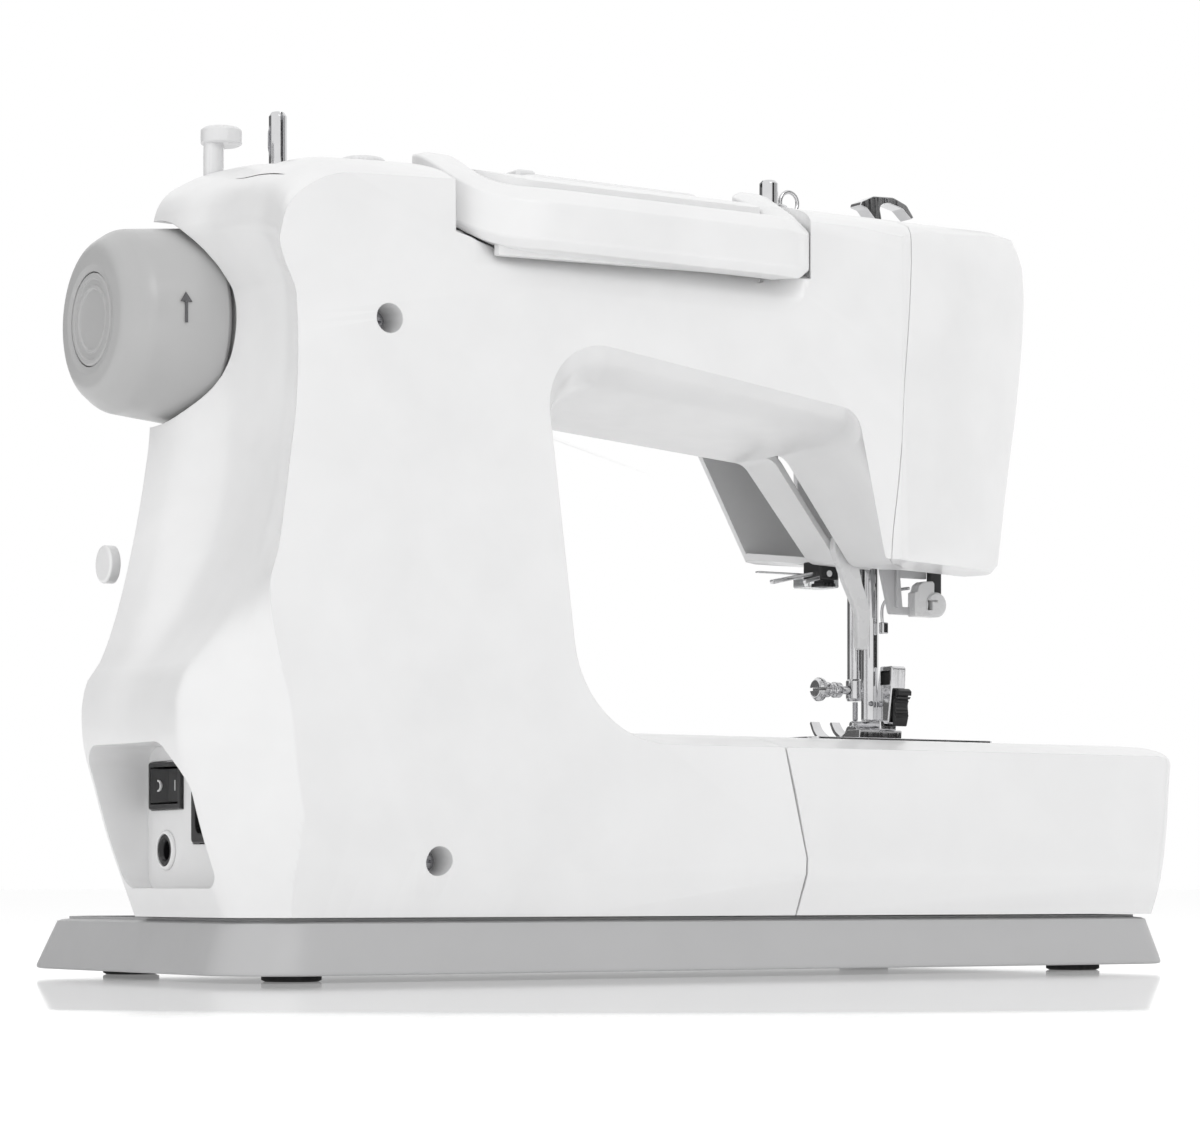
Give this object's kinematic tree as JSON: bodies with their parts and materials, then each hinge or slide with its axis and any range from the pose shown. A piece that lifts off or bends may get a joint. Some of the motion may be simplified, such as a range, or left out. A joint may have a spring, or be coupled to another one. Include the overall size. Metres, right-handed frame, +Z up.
{
  "type": "sewing machine",
  "caption": "Domestic free-arm sewing machine with a handwheel, a folding carrying handle on the back, a slide-off extension table and a clip-on presser foot.",
  "frame": {"origin": "middle of the machine's bounding box, on the surface it stands on", "axes": "+X towards the handwheel end, +Y towards the back of the machine, +Z up"},
  "size_m": [0.3892, 0.179, 0.283],
  "materials": {
    "white_shell": "satin moulded",
    "grey_base": "satin moulded",
    "circuit_board": "lacquered",
    "grey_wheel": "satin moulded",
    "white_knob": "satin moulded",
    "black_plastic": "fine grain",
    "dark_stem": "satin",
    "rubber": "matt",
    "chrome": "polished",
    "steel": "ground",
    "casting": "as cast",
    "clear_lens": "clear",
    "grey_lever": "satin"
  },
  "bodies": {
    "machine": {"rear_cover": "white_shell", "front_cover": "white_shell", "face_cover": "white_shell", "free_arm": "white_shell", "round_cap": "white_shell", "base_plate": "grey_base", "circuit_board": "circuit_board", "winder_stop": "white_knob", "spool_pin": "white_knob", "thread_cutter": "black_plastic", "switch_frame": "black_plastic", "inlet_body": "black_plastic", "jack_body": "black_plastic", "foot_1": "rubber", "foot_2": "rubber", "foot_3": "rubber", "foot_4": "rubber", "timing_belt": "rubber", "motor_belt": "rubber", "needle_plate": "chrome", "winder_tension": "chrome", "thread_guide": "chrome", "case_screw_1": "steel", "case_screw_2": "steel", "frame_casting": "casting", "motor_body": "casting", "lamp": "clear_lens"},
    "drive": {"upper_shaft": "steel", "handwheel": "grey_wheel", "wheel_cap": "grey_wheel"},
    "link": {"needle_link": "steel"},
    "lower": {"lower_shaft": "steel"},
    "motor_rotor": {"motor_shaft": "steel"},
    "hook_body": {"hook": "steel"},
    "bobbin_body": {"bobbin": "clear_lens"},
    "winder": {"winder_spindle": "chrome"},
    "needle_group": {"needle_bar": "chrome", "needle": "steel"},
    "clamp_thumb": {"clamp_screw": "chrome"},
    "presser": {"presser_bar": "chrome", "foot_ankle": "chrome"},
    "sole": {"presser_foot": "chrome"},
    "release": {"foot_release": "black_plastic"},
    "lifter": {"presser_lifter": "white_knob"},
    "take_up": {"take_up_lever": "chrome"},
    "feed": {"feed_dog": "steel"},
    "bobbin_door": {"bobbin_cover": "clear_lens"},
    "table": {"extension_table": "white_shell"},
    "lid": {"table_lid": "white_shell"},
    "handle": {"carry_handle": "white_shell"},
    "pattern": {"pattern_dial": "white_knob"},
    "length": {"length_dial": "white_knob"},
    "width": {"width_dial": "white_knob"},
    "tension": {"tension_dial": "white_knob"},
    "top": {"top_dial": "white_knob"},
    "reverse": {"reverse_lever": "white_knob"},
    "switch": {"power_switch": "black_plastic"},
    "threader": {"needle_threader": "dark_stem"},
    "buttonhole": {"buttonhole_lever": "grey_lever"}
  },
  "joints": [
    {"name": "handwheel_turn", "type": "hinge", "parent": "machine", "child": "drive", "pos_m": [0, -0.0055, 0.2097], "axis": [1, 0, 0], "continuous": true},
    {"name": "link_turn", "type": "hinge", "parent": "drive", "child": "link", "pos_m": [-0.1055, -0.0055, 0.1947], "axis": [1, 0, 0], "continuous": true},
    {"name": "lower_turn", "type": "hinge", "parent": "machine", "child": "lower", "pos_m": [0, -0.0055, 0.046], "axis": [1, 0, 0], "continuous": true},
    {"name": "motor_turn", "type": "hinge", "parent": "machine", "child": "motor_rotor", "pos_m": [0.13, -0.0535, 0.056], "axis": [1, 0, 0], "continuous": true},
    {"name": "hook_turn", "type": "hinge", "parent": "machine", "child": "hook_body", "pos_m": [-0.115, -0.0308, 0.06], "axis": [0, 0, 1], "continuous": true},
    {"name": "bobbin_spin", "type": "hinge", "parent": "machine", "child": "bobbin_body", "pos_m": [-0.115, -0.0308, 0.069], "axis": [0, 0, 1], "continuous": true},
    {"name": "winder_spin", "type": "hinge", "parent": "machine", "child": "winder", "pos_m": [0.1246, -0.0055, 0.265], "axis": [0, 0, 1], "continuous": true},
    {"name": "needle_slide", "type": "slide", "parent": "machine", "child": "needle_group", "axis": [0, 0, 1], "range_m": [0, 0.03]},
    {"name": "clamp_turn", "type": "hinge", "parent": "needle_group", "child": "clamp_thumb", "pos_m": [-0.105, -0.0143, 0.101], "axis": [1, 0, 0], "range_deg": [-180, 0]},
    {"name": "presser_slide", "type": "slide", "parent": "machine", "child": "presser", "axis": [0, 0, 1], "range_m": [0, 0.006]},
    {"name": "sole_tilt", "type": "hinge", "parent": "presser", "child": "sole", "pos_m": [-0.115, -0.0047, 0.088], "axis": [1, 0, 0], "range_deg": [-6, 0]},
    {"name": "release_press", "type": "hinge", "parent": "presser", "child": "release", "pos_m": [-0.115, 0.0025, 0.103], "axis": [1, 0, 0], "range_deg": [0, 6], "stiffness_Nm_per_rad": 0.02},
    {"name": "lifter_swing", "type": "hinge", "parent": "machine", "child": "lifter", "pos_m": [-0.1, 0.0165, 0.177], "axis": [0, -1, 0], "range_deg": [0, 50]},
    {"name": "take_up_swing", "type": "hinge", "parent": "machine", "child": "take_up", "pos_m": [-0.115, -0.0295, 0.196], "axis": [1, 0, 0], "range_deg": [0, 34]},
    {"name": "feed_slide", "type": "slide", "parent": "machine", "child": "feed", "axis": [0, 1, 0], "range_m": [-0.002, 0.002]},
    {"name": "cover_slide", "type": "slide", "parent": "machine", "child": "bobbin_door", "axis": [0, -1, 0], "range_m": [0, 0.03]},
    {"name": "table_slide", "type": "slide", "parent": "machine", "child": "table", "axis": [-1, 0, 0], "range_m": [0, 0.16]},
    {"name": "lid_swing", "type": "hinge", "parent": "table", "child": "lid", "pos_m": [-0.108, -0.0877, 0.028], "axis": [1, 0, 0], "range_deg": [0, 85]},
    {"name": "handle_swing", "type": "hinge", "parent": "machine", "child": "handle", "pos_m": [0.038, 0.0565, 0.2505], "axis": [1, 0, 0], "range_deg": [0, 95]},
    {"name": "pattern_turn", "type": "hinge", "parent": "machine", "child": "pattern", "pos_m": [0.112, -0.0579, 0.222], "axis": [0, -1, 0], "continuous": true},
    {"name": "length_turn", "type": "hinge", "parent": "machine", "child": "length", "pos_m": [0.112, -0.0579, 0.172], "axis": [0, -1, 0], "range_deg": [0, 270]},
    {"name": "width_turn", "type": "hinge", "parent": "machine", "child": "width", "pos_m": [0.04, -0.0579, 0.226], "axis": [0, -1, 0], "range_deg": [0, 270]},
    {"name": "tension_turn", "type": "hinge", "parent": "machine", "child": "tension", "pos_m": [-0.084, -0.0579, 0.232], "axis": [0, -1, 0], "range_deg": [-140, 140]},
    {"name": "top_turn", "type": "hinge", "parent": "machine", "child": "top", "pos_m": [0.093, -0.0055, 0.267], "axis": [0, 0, 1], "range_deg": [-140, 140]},
    {"name": "reverse_press", "type": "hinge", "parent": "machine", "child": "reverse", "pos_m": [0.112, -0.052, 0.135], "axis": [1, 0, 0], "range_deg": [0, 9], "stiffness_Nm_per_rad": 0.3},
    {"name": "switch_rock", "type": "hinge", "parent": "machine", "child": "switch", "pos_m": [0.168, 0.01, 0.0615], "axis": [0, 0, -1], "range_deg": [0, 14]},
    {"name": "threader_slide", "type": "slide", "parent": "machine", "child": "threader", "axis": [0, 0, -1], "range_m": [0, 0.018], "stiffness_N_per_m": 20},
    {"name": "buttonhole_slide", "type": "slide", "parent": "machine", "child": "buttonhole", "axis": [0, 0, -1], "range_m": [0, 0.014]}
  ],
  "couplings": [
    {"joint": "link_turn", "follows": "handwheel_turn", "ratio": -1},
    {"joint": "lower_turn", "follows": "handwheel_turn", "ratio": 1},
    {"joint": "motor_turn", "follows": "handwheel_turn", "ratio": 4.6667},
    {"joint": "hook_turn", "follows": "handwheel_turn", "ratio": 2},
    {"joint": "lifter_swing", "follows": "presser_slide", "rad_per_m": 145}
  ]
}
